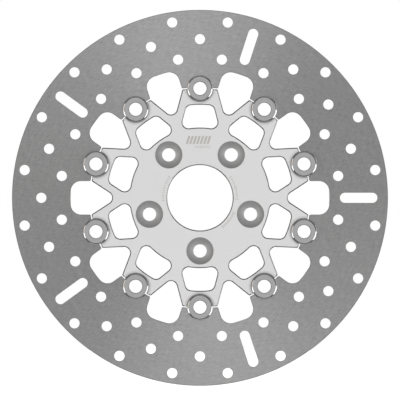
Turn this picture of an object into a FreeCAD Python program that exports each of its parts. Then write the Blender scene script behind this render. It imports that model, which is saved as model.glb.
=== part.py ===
"""Floating brake disc rotor for a motorcycle wheel: a friction ring hung on a carrier by ten hollow drive buttons.

The disc is drawn flat. In each flat piece's own frame Z is the wheel's axle, Z = 0 is the carrier's
hub-mounting face, and positive Z is the outboard side. Every piece is then stood up by the same
quarter turn about X, so that in the finished part the axle is Y and the outboard side faces -Y.
"""
import FreeCAD, Part
import math
import os

import Sketcher

DOC = FreeCAD.newDocument("brake_disc_rotor")
V = FreeCAD.Vector
UP = V(0, 0, 1)
ORIGIN = (-1, 1)  # the sketch's own origin, as (geometry, point)
X_AXIS = -1  # the sketch's own horizontal axis
UPRIGHT = FreeCAD.Placement(V(0, 0, 0), FreeCAD.Rotation(V(1, 0, 0), 90))

# ---------------------------------------------------------------- driving dimensions, in mm and degrees
SIZES = [
    ("pitches", 10),  # drive buttons, lugs, arms and windows
    ("half_pitch", 18),  # degrees, from a window's middle to the next button
    # friction ring
    ("disc_diameter", 292.1),
    ("ring_thickness", 6.0),
    ("ring_lift", 0.3),  # ring's back face above the hub-mounting face
    ("lug_radius", 86.05),  # inner ends of the ring's lugs
    ("lug_corner", 1.0),
    ("gap_top_radius", 100.6),  # outer edge of the windows between lugs
    ("gap_half_width", 13.0),
    ("gap_corner", 8.0),
    ("ring_chamfer", 0.4),
    ("drill_diameter", 8.0),
    ("drill_first", 9),  # degrees, first hole of the outer and inner rows
    ("outer_row_radius", 137.9),
    ("middle_row_radius", 123.3),
    ("inner_row_radius", 108.7),
    ("slot_length", 29.2),
    ("slot_width", 7.9),
    # carrier
    ("carrier_thickness", 6.6),
    ("arm_radius", 85.15),  # outer ends of the carrier's arms
    ("arm_corner", 1.0),
    ("notch_radius", 4.75),  # root of the notch between two arms
    ("notch_centre", 73.0),
    ("notch_angle", 33.1),  # degrees, each side off the notch's middle line
    ("window_inner_radius", 54.6),
    ("window_outer_radius", 72.25),
    ("window_side_offset", 28.4),  # from the axle to the line of a window's side
    ("window_side_lean", 14.9),  # degrees, towards the window's middle line
    ("window_outer_corner", 4.7),
    ("window_inner_corner", 4.8),
    ("carrier_chamfer", 0.8),
    ("pilot_bore", 50.8),
    ("bolt_circle", 82.55),
    ("bolt_hole", 10.3),
    ("bolt_count", 5),
    ("sink_diameter", 21.2),
    ("sink_angle", 90),
    ("spot_diameter", 24.0),  # relief under a button's head and washers
    ("spot_depth", 0.55),
    # drive buttons and what holds them
    ("button_circle", 170.0),
    ("drive_hole", 14.5),
    ("shank_diameter", 14.0),
    ("button_bore", 10.3),
    ("head_diameter", 20.0),
    ("head_height", 1.8),
    ("head_bevel_width", 1.1),
    ("head_bevel_height", 0.8),
    ("tail_length", 4.2),  # shank behind the hub-mounting face
    ("tail_chamfer", 0.4),
    ("face_gap", 0.02),  # between faces that lie against each other
    ("washer_bore", 14.4),
    ("washer_diameter", 20.0),
    ("washer_thickness", 1.0),
    ("wave_bore", 14.5),
    ("wave_diameter", 19.4),
    ("wave_sheet", 0.4),
    ("wave_height", 1.2),
    ("wave_count", 3),
    ("clip_thickness", 1.0),
    ("clip_inside", 13.1),
    ("clip_outside", 17.2),
    ("clip_gap", 2.8),
    ("clip_ear_radius", 1.7),
    ("clip_ear_centre", 8.3),
    ("clip_eye", 1.5),
    ("groove_diameter", 13.0),
    ("groove_width", 1.1),
]

sheet = DOC.addObject("Spreadsheet::Sheet", "Sizes")
for row, (alias, number) in enumerate(SIZES, start=1):
    sheet.set(f"A{row}", alias)
    sheet.set(f"B{row}", str(number))
    sheet.setAlias(f"B{row}", alias)
DOC.recompute()

# heights of the stack behind the ring, each worked out from the one before it
LEVELS = [
    ("washer_top", "=ring_lift - face_gap"),
    ("wave_top", "=washer_top - washer_thickness - face_gap"),
    ("clip_top", "=wave_top - wave_height - face_gap"),
    ("groove_top", "=clip_top + (groove_width - clip_thickness) / 2"),
    ("head_seat", "=ring_lift + ring_thickness + face_gap"),
]
for row, (alias, formula) in enumerate(LEVELS, start=len(SIZES) + 1):
    sheet.set(f"A{row}", alias)
    sheet.set(f"B{row}", formula)
    sheet.setAlias(f"B{row}", alias)
    DOC.recompute()


def size(expression):
    """The value of a formula written with the sheet's names."""
    return float(sheet.evalExpression(expression))


# ---------------------------------------------------------------- bodies, sketches and features
def new_body(name):
    body = DOC.addObject("PartDesign::Body", name)
    body.Label = name
    return body


def origin_feature(body, role):
    return next(item for item in body.Origin.OriginFeatures if item.Role == role)


def new_sketch(body, name, plane="XY_Plane", turn=None, lift=None):
    """A sketch on one of the body's origin planes, turned about and lifted along its normal by formulas."""
    sketch = body.newObject("Sketcher::SketchObject", name)
    sketch.AttachmentSupport = [(origin_feature(body, plane), "")]
    sketch.MapMode = "FlatFace"
    if turn:
        sketch.AttachmentOffset = FreeCAD.Placement(V(0, 0, 0), FreeCAD.Rotation(UP, 1))
        sketch.setExpression("AttachmentOffset.Rotation.Angle", turn)
    if lift:
        sketch.setExpression("AttachmentOffset.Base.z", lift)
    return sketch


def bind(sketch, label, formula, *constraint):
    """Adds a dimension to a sketch, gives it a name and ties it to a formula."""
    kind, *places = constraint
    value = size(formula.replace("Sizes.", ""))
    if kind == "Angle":
        value = math.radians(value)
        formula = f"({formula}) * 1 deg"
    index = sketch.addConstraint(Sketcher.Constraint(kind, *places, value))
    sketch.renameConstraint(index, label)
    sketch.setExpression(f"Constraints.{label}", formula)


def rule(sketch, *constraint):
    sketch.addConstraint(Sketcher.Constraint(*constraint))


def arc(centre, radius, start, end):
    """An anticlockwise arc, with its angles in degrees."""
    circle = Part.Circle(centre, UP, radius)
    return Part.ArcOfCircle(circle, math.radians(start), math.radians(end))


def toward(angle, length=1.0):
    return V(math.cos(math.radians(angle)), math.sin(math.radians(angle)), 0) * length


def add_circle(sketch, label, diameter, distance=None, angle=None):
    """A circle at the origin, or at a distance and an angle from it, all given as formulas."""
    if distance is None:
        centre = V(0, 0, 0)
    else:
        centre = toward(size(angle), size(distance))
    circle = sketch.addGeometry(Part.Circle(centre, UP, size(diameter) / 2))
    bind(sketch, f"{label}_diameter", named(diameter), "Diameter", circle)
    if distance is None:
        rule(sketch, "Coincident", circle, 3, *ORIGIN)
        return circle
    spoke = sketch.addGeometry(Part.LineSegment(V(0, 0, 0), centre), True)
    rule(sketch, "Coincident", spoke, 1, *ORIGIN)
    rule(sketch, "Coincident", circle, 3, spoke, 2)
    bind(sketch, f"{label}_distance", named(distance), "Distance", spoke)
    if size(angle) == 0:
        rule(sketch, "Horizontal", spoke)
    else:
        bind(sketch, f"{label}_angle", named(angle), "Angle", X_AXIS, 1, spoke, 1)
    return circle


def named(formula):
    """The same formula with each of the sheet's names in full, as other objects need it."""
    words = formula.replace("(", "( ").replace(")", " )").split()
    known = {alias for alias, _ in SIZES + LEVELS}
    return " ".join(f"Sizes.{word}" if word in known else word for word in words)


def pad(body, name, sketch, length):
    feature = body.newObject("PartDesign::Pad", name)
    feature.Profile = sketch
    feature.setExpression("Length", named(length))
    return feature


def cut_through(body, name, sketch):
    """Cuts a sketch through the whole piece, both ways from the sketch's plane."""
    feature = body.newObject("PartDesign::Pocket", name)
    feature.Profile = sketch
    feature.Type = "ThroughAll"
    feature.Midplane = True
    return feature


def repeat(body, name, feature, count):
    """Repeats a feature round the body's Z axis."""
    pattern = body.newObject("PartDesign::PolarPattern", name)
    pattern.Originals = [feature]
    pattern.Axis = (origin_feature(body, "Z_Axis"), [""])
    pattern.Angle = 360
    pattern.setExpression("Occurrences", named(count))
    body.Tip = pattern
    DOC.recompute()
    return pattern


def corner_edges(shape, radius, reach=1.5):
    """The names of the upright edges that lie near a given radius."""
    names = []
    for number, edge in enumerate(shape.Edges, start=1):
        ends = [vertex.Point for vertex in edge.Vertexes]
        upright = len(ends) == 2 and math.hypot(ends[0].x - ends[1].x, ends[0].y - ends[1].y) < 0.01
        if upright and abs(math.hypot(ends[0].x, ends[0].y) - radius) < reach:
            names.append(f"Edge{number}")
    return names


def flat_faces(shape):
    """The names of the back and front faces, in that order: the two largest level ones."""
    level = []
    for number, face in enumerate(shape.Faces, start=1):
        if face.BoundBox.ZLength < 0.001:
            level.append((face.Area, face.BoundBox.ZMin, f"Face{number}"))
    largest = sorted(level)[-2:]
    return [name for _, _, name in sorted(largest, key=lambda face: face[1])]


def dress(body, kind, name, base, references, formula):
    """A fillet or chamfer on edges, or on every edge of a face."""
    feature = body.newObject(f"PartDesign::{kind}", name)
    feature.Base = (base, references)
    feature.setExpression("Radius" if kind == "Fillet" else "Size", named(formula))
    body.Tip = feature
    DOC.recompute()
    return feature


# ---------------------------------------------------------------- outlines, each drawn about its own +X line
def gap_outline(sketch):
    """The window between two ring lugs: parallel sides, a rounded top that follows the disc, open inwards."""
    top = size("gap_top_radius")
    half = size("gap_half_width")
    corner = size("gap_corner")
    inner = size("lug_radius * 0.9")
    height = half - corner
    across = math.sqrt((top - corner) ** 2 - height**2)
    lean = math.degrees(math.atan2(height, across))
    arch, left, side, back, other, right = sketch.addGeometry([
        arc(V(0, 0, 0), top, -lean, lean),
        arc(V(across, height, 0), corner, lean, 90),
        Part.LineSegment(V(across, half, 0), V(inner, half, 0)),
        Part.LineSegment(V(inner, half, 0), V(inner, -half, 0)),
        Part.LineSegment(V(inner, -half, 0), V(across, -half, 0)),
        arc(V(across, -height, 0), corner, -90, -lean),
    ])
    rule(sketch, "Coincident", arch, 3, *ORIGIN)
    rule(sketch, "Tangent", arch, 2, left, 1)
    rule(sketch, "Tangent", left, 2, side, 1)
    rule(sketch, "Coincident", side, 2, back, 1)
    rule(sketch, "Coincident", back, 2, other, 1)
    rule(sketch, "Tangent", other, 2, right, 1)
    rule(sketch, "Tangent", right, 2, arch, 1)
    rule(sketch, "Horizontal", side)
    rule(sketch, "Horizontal", other)
    rule(sketch, "Symmetric", back, 1, back, 2, X_AXIS)
    rule(sketch, "Equal", left, right)
    bind(sketch, "top_radius", "Sizes.gap_top_radius", "Radius", arch)
    bind(sketch, "corner", "Sizes.gap_corner", "Radius", left)
    bind(sketch, "width", "2 * Sizes.gap_half_width", "DistanceY", back, 2, back, 1)
    bind(sketch, "inner", "Sizes.lug_radius * 0.9", "DistanceX", *ORIGIN, back, 1)


def notch_outline(sketch):
    """The notch between two carrier arms: a round root and two sides that open outwards."""
    angle = size("notch_angle")
    radius = size("notch_radius")
    centre = V(size("notch_centre"), 0, 0)
    rim = size("arm_radius * 1.05")
    foot = centre + toward(angle + 90, radius)
    run = (rim - foot.x) / math.cos(math.radians(angle))
    end = foot + toward(angle, run)
    root, side, rim_line, other = sketch.addGeometry([
        arc(centre, radius, angle + 90, 270 - angle),
        Part.LineSegment(foot, end),
        Part.LineSegment(end, V(end.x, -end.y, 0)),
        Part.LineSegment(V(end.x, -end.y, 0), V(foot.x, -foot.y, 0)),
    ])
    rule(sketch, "PointOnObject", root, 3, X_AXIS)
    rule(sketch, "Tangent", root, 1, side, 1)
    rule(sketch, "Coincident", side, 2, rim_line, 1)
    rule(sketch, "Coincident", rim_line, 2, other, 1)
    rule(sketch, "Tangent", other, 2, root, 2)
    rule(sketch, "Symmetric", rim_line, 1, rim_line, 2, X_AXIS)
    bind(sketch, "centre", "Sizes.notch_centre", "DistanceX", *ORIGIN, root, 3)
    bind(sketch, "root_radius", "Sizes.notch_radius", "Radius", root)
    bind(sketch, "angle", "Sizes.notch_angle", "Angle", X_AXIS, 1, side, 1)
    bind(sketch, "rim", "Sizes.arm_radius * 1.05", "DistanceX", *ORIGIN, rim_line, 1)


def window_outline(sketch):
    """A carrier window: two edges that follow the disc, two leaning sides, and four rounded corners."""
    lean = size("window_side_lean")
    offset = size("window_side_offset")
    outward = toward(90 - lean)  # square to the upper side, away from the window
    along = toward(-lean)  # along the upper side, away from the axle
    low = size("window_inner_radius")
    high = size("window_outer_radius")
    low_corner = size("window_inner_corner")
    high_corner = size("window_outer_corner")

    def corner_centre(reach, radius):
        depth = offset - radius
        return outward * depth + along * math.sqrt(reach**2 - depth**2)

    far = corner_centre(high - high_corner, high_corner)
    near = corner_centre(low + low_corner, low_corner)
    far_angle = math.degrees(math.atan2(far.y, far.x))
    near_angle = math.degrees(math.atan2(near.y, near.x))
    side_ends = (far + outward * high_corner, near + outward * low_corner)
    mirror = [V(point.x, -point.y, 0) for point in side_ends]
    rim, far_up, side, near_up, root, near_down, other, far_down = sketch.addGeometry([
        arc(V(0, 0, 0), high, -far_angle, far_angle),
        arc(far, high_corner, far_angle, 90 - lean),
        Part.LineSegment(*side_ends),
        arc(near, low_corner, 90 - lean, 180 + near_angle),
        arc(V(0, 0, 0), low, -near_angle, near_angle),
        arc(V(near.x, -near.y, 0), low_corner, 180 - near_angle, 270 + lean),
        Part.LineSegment(mirror[1], mirror[0]),
        arc(V(far.x, -far.y, 0), high_corner, lean - 90, -far_angle),
    ])
    rule(sketch, "Coincident", rim, 3, *ORIGIN)
    rule(sketch, "Coincident", root, 3, *ORIGIN)
    joins = [
        (rim, 2, far_up, 1),
        (far_up, 2, side, 1),
        (side, 2, near_up, 1),
        (near_up, 2, root, 2),
        (root, 1, near_down, 1),
        (near_down, 2, other, 1),
        (other, 2, far_down, 1),
        (far_down, 2, rim, 1),
    ]
    for join in joins:
        rule(sketch, "Tangent", *join)
    rule(sketch, "Symmetric", side, 1, other, 2, X_AXIS)
    rule(sketch, "Equal", far_up, far_down)
    rule(sketch, "Equal", near_up, near_down)
    bind(sketch, "outer_radius", "Sizes.window_outer_radius", "Radius", rim)
    bind(sketch, "inner_radius", "Sizes.window_inner_radius", "Radius", root)
    bind(sketch, "outer_corner", "Sizes.window_outer_corner", "Radius", far_up)
    bind(sketch, "inner_corner", "Sizes.window_inner_corner", "Radius", near_up)
    bind(sketch, "side_offset", "Sizes.window_side_offset", "Distance", *ORIGIN, side)
    bind(sketch, "side_lean", "Sizes.window_side_lean", "Angle", side, 2, X_AXIS, 1)


def slot_outline(sketch):
    """A long slot with round ends that points at the axle."""
    half = size("slot_width / 2")
    first = size("middle_row_radius - (slot_length - slot_width) / 2")
    last = size("middle_row_radius + (slot_length - slot_width) / 2")
    near, top, far, bottom = sketch.addGeometry([
        arc(V(first, 0, 0), half, 90, 270),
        Part.LineSegment(V(first, half, 0), V(last, half, 0)),
        arc(V(last, 0, 0), half, -90, 90),
        Part.LineSegment(V(last, -half, 0), V(first, -half, 0)),
    ])
    for join in [(near, 1, top, 1), (top, 2, far, 2), (far, 1, bottom, 1), (bottom, 2, near, 2)]:
        rule(sketch, "Tangent", *join)
    rule(sketch, "PointOnObject", near, 3, X_AXIS)
    rule(sketch, "PointOnObject", far, 3, X_AXIS)
    rule(sketch, "Horizontal", top)
    between = named("( slot_length - slot_width ) / 2")
    bind(sketch, "width", "Sizes.slot_width", "DistanceY", far, 1, far, 2)
    bind(sketch, "near", f"Sizes.middle_row_radius - {between}", "DistanceX", *ORIGIN, near, 3)
    bind(sketch, "far", f"Sizes.middle_row_radius + {between}", "DistanceX", *ORIGIN, far, 3)


# ---------------------------------------------------------------- the friction ring
def make_friction_ring():
    """The ground steel ring that the pads squeeze, with ten lugs that reach in to the drive buttons."""
    body = new_body("friction_ring")
    blank = new_sketch(body, "ring_blank", lift="Sizes.ring_lift")
    add_circle(blank, "outside", "disc_diameter")
    add_circle(blank, "inside", "lug_radius * 2")
    pad(body, "ring_plate", blank, "ring_thickness")

    gap = new_sketch(body, "lug_gap")
    gap_outline(gap)
    gaps = repeat(body, "lug_gaps", cut_through(body, "lug_gap_cut", gap), "pitches")
    corners = corner_edges(gaps.Shape, size("lug_radius"))
    rounded = dress(body, "Fillet", "lug_corners", gaps, corners, "lug_corner")
    dress(body, "Chamfer", "ring_edges", rounded, flat_faces(rounded.Shape), "ring_chamfer")

    drive = new_sketch(body, "drive_hole", turn="Sizes.half_pitch")
    add_circle(drive, "drive", "drive_hole", "button_circle / 2", "0")
    repeat(body, "drive_holes", cut_through(body, "drive_hole_cut", drive), "pitches")

    rows = new_sketch(body, "outer_and_inner_hole", turn="Sizes.drill_first")
    add_circle(rows, "outer", "drill_diameter", "outer_row_radius", "0")
    add_circle(rows, "inner", "drill_diameter", "inner_row_radius", "0")
    repeat(body, "outer_and_inner_rows", cut_through(body, "row_cut", rows), "pitches * 2")

    middle = new_sketch(body, "middle_holes")
    for step in (1, 2, 3):
        add_circle(middle, f"hole{step}", "drill_diameter", "middle_row_radius", f"half_pitch * {step}")
    repeat(body, "middle_row", cut_through(body, "middle_cut", middle), "pitches / 2")

    slot = new_sketch(body, "wear_slot")
    slot_outline(slot)
    repeat(body, "wear_slots", cut_through(body, "slot_cut", slot), "pitches / 2")
    return body


# ---------------------------------------------------------------- the carrier
def make_carrier():
    """The plate that bolts to the wheel hub, with ten arms that end in half a drive hole each."""
    body = new_body("carrier")
    blank = new_sketch(body, "carrier_blank")
    add_circle(blank, "outside", "arm_radius * 2")
    add_circle(blank, "bore", "pilot_bore")
    pad(body, "carrier_plate", blank, "carrier_thickness")

    notch = new_sketch(body, "arm_notch")
    notch_outline(notch)
    notches = repeat(body, "arm_notches", cut_through(body, "arm_notch_cut", notch), "pitches")
    corners = corner_edges(notches.Shape, size("arm_radius"))
    dress(body, "Fillet", "arm_corners", notches, corners, "arm_corner")

    window = new_sketch(body, "window", turn="Sizes.half_pitch")
    window_outline(window)
    windows = repeat(body, "windows", cut_through(body, "window_cut", window), "pitches")
    front = flat_faces(windows.Shape)[1]
    dress(body, "Chamfer", "carrier_edges", windows, [front], "carrier_chamfer")

    for side, lift in (("back", "0"), ("front", "carrier_thickness")):
        spot = new_sketch(body, f"{side}_spot_face", turn="Sizes.half_pitch", lift=named(lift))
        add_circle(spot, "spot", "spot_diameter", "button_circle / 2", "0")
        relief = body.newObject("PartDesign::Pocket", f"{side}_relief")
        relief.Profile = spot
        relief.setExpression("Length", "Sizes.spot_depth")
        relief.Reversed = side == "back"
        repeat(body, f"{side}_reliefs", relief, "pitches")

    drive = new_sketch(body, "drive_hole", turn="Sizes.half_pitch")
    add_circle(drive, "drive", "drive_hole", "button_circle / 2", "0")
    repeat(body, "drive_holes", cut_through(body, "drive_hole_cut", drive), "pitches")

    bolt = new_sketch(body, "bolt_place", turn="-90", lift="Sizes.carrier_thickness")
    add_circle(bolt, "bolt", "bolt_hole", "bolt_circle / 2", "0")
    DOC.recompute()
    hole = body.newObject("PartDesign::Hole", "bolt_hole_cut")
    hole.Profile = bolt
    hole.DepthType = "ThroughAll"
    hole.HoleCutType = "Countersink"
    hole.HoleCutCustomValues = True
    hole.setExpression("Diameter", "Sizes.bolt_hole")
    hole.setExpression("HoleCutDiameter", "Sizes.sink_diameter")
    hole.setExpression("HoleCutCountersinkAngle", "Sizes.sink_angle")
    DOC.recompute()
    repeat(body, "bolt_holes", hole, "bolt_count")
    return body


# ---------------------------------------------------------------- the drive buttons and what holds them
def stepped_profile(sketch, corners):
    """A closed outline through corners given as pairs of formulas, each held by its distances from the axes."""
    points = [V(size(across), size(up), 0) for across, up in corners]
    lines = []
    for start, end in zip(points, points[1:] + points[:1]):
        lines.append(sketch.addGeometry(Part.LineSegment(start, end)))
    for this, following in zip(lines, lines[1:] + lines[:1]):
        rule(sketch, "Coincident", this, 2, following, 1)
    for number, (line, (across, up)) in enumerate(zip(lines, corners)):
        bind(sketch, f"across{number}", named(across), "DistanceX", *ORIGIN, line, 1)
        if size(up) == 0:
            rule(sketch, "PointOnObject", line, 1, X_AXIS)
        else:
            bind(sketch, f"up{number}", named(up), "DistanceY", *ORIGIN, line, 1)


def make_bobbin(name):
    """One drive button, turned from bar: a hollow shank, a bevelled head in front and a clip groove behind.

    Its own Z = 0 is the end of its tail.
    """
    body = new_body(name)
    bore = "button_bore / 2"
    shank = "shank_diameter / 2"
    head = "head_diameter / 2"
    seat = "tail_length + head_seat"
    top = f"{seat} + head_height"
    profile = new_sketch(body, f"{name}_profile", plane="XZ_Plane")
    stepped_profile(profile, [
        (f"{bore} + tail_chamfer", "0"),
        (f"{shank} - tail_chamfer", "0"),
        (shank, "tail_chamfer"),
        (shank, seat),
        (head, seat),
        (head, f"{top} - head_bevel_height"),
        (f"{head} - head_bevel_width", top),
        (f"{bore} + tail_chamfer", top),
        (bore, f"{top} - tail_chamfer"),
        (bore, "tail_chamfer"),
    ])
    turned = body.newObject("PartDesign::Revolution", f"{name}_turned")
    turned.Profile = profile
    turned.ReferenceAxis = (profile, ["V_Axis"])
    turned.Angle = 360
    DOC.recompute()

    slit = new_sketch(body, f"{name}_groove", plane="XZ_Plane")
    root = "groove_diameter / 2"
    groove_low = "tail_length + groove_top - groove_width"
    groove_high = "tail_length + groove_top"
    outside = f"{shank} * 1.1"
    stepped_profile(slit, [(root, groove_low), (outside, groove_low), (outside, groove_high), (root, groove_high)])
    groove = body.newObject("PartDesign::Groove", f"{name}_groove_cut")
    groove.Profile = slit
    groove.ReferenceAxis = (slit, ["V_Axis"])
    groove.Angle = 360
    body.Tip = groove
    return body


def make_thrust_washer(name):
    """A flat steel washer that lies on the back of a ring lug."""
    body = new_body(name)
    blank = new_sketch(body, f"{name}_blank")
    add_circle(blank, "outside", "washer_diameter")
    add_circle(blank, "bore", "washer_bore")
    pad(body, f"{name}_plate", blank, "washer_thickness")
    return body


def make_circlip(name):
    """The sprung clip in a button's groove: an open ring whose two ends have eyes for the pliers."""
    body = new_body(name)
    blank = new_sketch(body, f"{name}_blank")
    add_circle(blank, "outside", "clip_outside")
    pad(body, f"{name}_disc", blank, "clip_thickness")
    for side in (-1, 1):
        ear = new_sketch(body, f"{name}_ear{side + 2}")
        lean = math.degrees(math.asin((size("clip_gap") / 2 + size("clip_ear_radius")) / size("clip_ear_centre")))
        add_ear(ear, "clip_ear_radius * 2", side * lean)
        pad(body, f"{name}_ear_pad{side + 2}", ear, "clip_thickness")
        eye = new_sketch(body, f"{name}_eye{side + 2}")
        add_ear(eye, "clip_eye", side * lean)
        cut_through(body, f"{name}_eye_cut{side + 2}", eye)
    inside = new_sketch(body, f"{name}_inside")
    add_circle(inside, "inside", "clip_inside")
    cut_through(body, f"{name}_inside_cut", inside)
    gap = new_sketch(body, f"{name}_gap")
    gap_box(gap)
    body.Tip = cut_through(body, f"{name}_gap_cut", gap)
    return body


def add_ear(sketch, diameter, angle):
    """A circle on the clip's ear, which is pinned at the angle that leaves the gap free."""
    centre = toward(angle, size("clip_ear_centre"))
    circle = sketch.addGeometry(Part.Circle(centre, UP, size(diameter) / 2))
    bind(sketch, "diameter", named(diameter), "Diameter", circle)
    offset = "Sizes.clip_gap / 2 + Sizes.clip_ear_radius"
    across = f"sqrt(Sizes.clip_ear_centre ^ 2 - ({offset}) ^ 2)"
    bind(sketch, "across", across, "DistanceX", *ORIGIN, circle, 3)
    ends = (circle, 3, *ORIGIN) if angle < 0 else (*ORIGIN, circle, 3)
    bind(sketch, "up", offset, "DistanceY", *ends)


def gap_box(sketch):
    """The opening between the clip's ends, as a box that runs outwards from its middle."""
    half = size("clip_gap / 2")
    reach = size("clip_outside")
    corners = [V(0, -half, 0), V(reach, -half, 0), V(reach, half, 0), V(0, half, 0)]
    lines = []
    for start, end in zip(corners, corners[1:] + corners[:1]):
        lines.append(sketch.addGeometry(Part.LineSegment(start, end)))
    for this, following in zip(lines, lines[1:] + lines[:1]):
        rule(sketch, "Coincident", this, 2, following, 1)
    bottom, far, top, near = lines
    rule(sketch, "Horizontal", bottom)
    rule(sketch, "Horizontal", top)
    rule(sketch, "Vertical", far)
    rule(sketch, "Symmetric", near, 1, near, 2, -1, 1)
    bind(sketch, "gap", "Sizes.clip_gap", "DistanceY", far, 1, far, 2)
    bind(sketch, "reach", "Sizes.clip_outside", "DistanceX", *ORIGIN, far, 1)


def make_wave_washer(name):
    """A spring washer whose flat strip rises and falls three times round the shank.

    Its own Z = 0 is its highest point. Each of its four faces is ruled between two wavy rings.
    """
    feature = DOC.addObject("Part::Feature", name)
    feature.Label = name
    sheet_thickness = size("wave_sheet")
    swing = (size("wave_height") - sheet_thickness) / 2
    waves = int(size("wave_count"))
    steps = 8 * waves

    def wavy_ring(radius, drop):
        points = []
        for step in range(steps):
            angle = 360 * step / steps
            rise = swing * math.cos(math.radians(waves * angle)) - swing - drop
            points.append(toward(angle, radius) + V(0, 0, rise))
        curve = Part.BSplineCurve()
        curve.interpolate(Points=points, PeriodicFlag=True)
        return curve.toShape()

    radii = (size("wave_bore / 2"), size("wave_diameter / 2"))
    inner_top, outer_top = (wavy_ring(radius, 0) for radius in radii)
    inner_low, outer_low = (wavy_ring(radius, sheet_thickness) for radius in radii)
    pairs = [(inner_top, outer_top), (outer_top, outer_low), (outer_low, inner_low), (inner_low, inner_top)]
    faces = [Part.makeRuledSurface(first, second) for first, second in pairs]
    shell = Part.makeShell(faces)
    shell.sewShape()
    solid = Part.makeSolid(shell)
    if solid.Volume < 0:
        solid.reverse()
    feature.Shape = solid
    return feature


def place_at_button(piece, number, lift):
    """Puts a piece on a button's centre line, with its own X pointing away from the axle."""
    angle = size("half_pitch") * (2 * number - 1)
    spot = toward(angle, size("button_circle / 2")) + V(0, 0, lift)
    piece.Placement = UPRIGHT * FreeCAD.Placement(spot, FreeCAD.Rotation(UP, angle))


# ---------------------------------------------------------------- the assembly
pieces = [make_friction_ring(), make_carrier()]
for piece in pieces:
    piece.Placement = UPRIGHT

for number in range(1, int(size("pitches")) + 1):
    set_of_four = [
        (make_bobbin(f"bobbin_{number:02d}"), -size("tail_length")),
        (make_thrust_washer(f"thrust_washer_{number:02d}"), size("washer_top - washer_thickness")),
        (make_wave_washer(f"wave_washer_{number:02d}"), size("wave_top")),
        (make_circlip(f"circlip_{number:02d}"), size("clip_top - clip_thickness")),
    ]
    for piece, lift in set_of_four:
        place_at_button(piece, number, lift)
        pieces.append(piece)
DOC.recompute()

# ---------------------------------------------------------------- checks, then one file for each piece
for item in DOC.Objects:
    if "Invalid" in item.State or "Error" in item.State:
        raise RuntimeError(f"{item.Label} failed: {item.State}")

os.makedirs("parts", exist_ok=True)
for piece in pieces:
    shape = piece.Shape
    if shape.isNull() or not shape.isValid() or len(shape.Solids) != 1:
        raise RuntimeError(f"{piece.Label} is not one sound solid")
for piece in pieces:
    piece.Shape.exportStep(f"parts/{piece.Label}.step")
    box = piece.Shape.BoundBox
    print(f"{piece.Label:18s} {piece.Shape.Volume:10.1f} mm3  Y {box.YMin:7.2f} to {box.YMax:6.2f}")
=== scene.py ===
# %% [markdown]
# # A floating brake disc rotor
#
# A motorcycle's disc is a flat steel ring that the brake pads squeeze. On a floating disc the ring isn't
# bolted down. Ten hollow drive buttons hang it on a lighter carrier plate, so it can grow when it is hot
# and find its own place between the pads.
#
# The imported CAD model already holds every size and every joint. This lesson opens it as a fixed frame,
# gives each piece its finished edges, and then gives each finish its own material.

# %% Open the frame
import math

import bmesh
import bpy
from mathutils import Matrix, Vector


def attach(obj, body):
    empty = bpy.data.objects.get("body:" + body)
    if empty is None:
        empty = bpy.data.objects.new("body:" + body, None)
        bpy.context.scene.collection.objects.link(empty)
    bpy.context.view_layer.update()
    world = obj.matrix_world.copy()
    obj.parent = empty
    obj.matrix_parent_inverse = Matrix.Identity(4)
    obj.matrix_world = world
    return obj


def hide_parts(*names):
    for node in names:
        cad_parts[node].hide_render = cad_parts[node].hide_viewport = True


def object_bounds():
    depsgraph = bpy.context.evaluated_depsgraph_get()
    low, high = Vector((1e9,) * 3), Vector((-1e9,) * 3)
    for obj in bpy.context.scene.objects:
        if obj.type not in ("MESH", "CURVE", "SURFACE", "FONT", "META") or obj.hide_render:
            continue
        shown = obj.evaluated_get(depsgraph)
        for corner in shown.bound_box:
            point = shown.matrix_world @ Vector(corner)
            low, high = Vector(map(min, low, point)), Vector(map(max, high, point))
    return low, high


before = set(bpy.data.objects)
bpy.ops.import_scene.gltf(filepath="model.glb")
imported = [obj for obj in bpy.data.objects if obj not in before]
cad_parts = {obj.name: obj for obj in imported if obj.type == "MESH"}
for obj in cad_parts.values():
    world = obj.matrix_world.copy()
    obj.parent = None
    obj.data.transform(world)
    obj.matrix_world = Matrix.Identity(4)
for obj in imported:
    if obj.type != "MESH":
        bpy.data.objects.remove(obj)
cad_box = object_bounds()
cad_low, cad_high = cad_box
print("CAD box in mm:", [round(side * 1000, 2) for side in cad_high - cad_low])

# %% [markdown]
# ## Working flat
#
# A disc is easiest to draw lying flat, as a draughtsman draws it: X and Y across the paper, Z up through
# the plate. The frame has the disc standing up with its outboard face towards -Y, so each finished piece is
# stood up by one quarter turn about X. Lengths in the drawing are in millimetres, as on a workshop drawing,
# and MM turns them into Blender's metres. Two very small distances, already in metres, say when two points
# count as the same point or as close enough.

# %% Units and the quarter turn
MM = 0.001
UPRIGHT = Matrix.Rotation(math.radians(90), 3, "X")
PITCHES = 10
PITCH = 360 / PITCHES
BUTTON_ANGLES = [PITCH * (number + 0.5) for number in range(PITCHES)]
AXLE = (0, 0)
SAME_POINT, CLOSE_POINT = 1e-7, 1e-6


def polar(distance, angle):
    """The drawing's X and Y of a point at a distance and an angle in degrees from the axle."""
    return Vector((math.cos(math.radians(angle)), math.sin(math.radians(angle)))) * distance


print("drive buttons stand at", [int(angle) for angle in BUTTON_ANGLES], "degrees")

# %% [markdown]
# ## A pen for outlines
#
# An arc is one point spun round a centre, and the spin operator leaves the edges behind it. Runs between
# arcs are single edges. This keeps the drawing close to the way the outline is dimensioned: radii, centres
# and angles.


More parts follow.
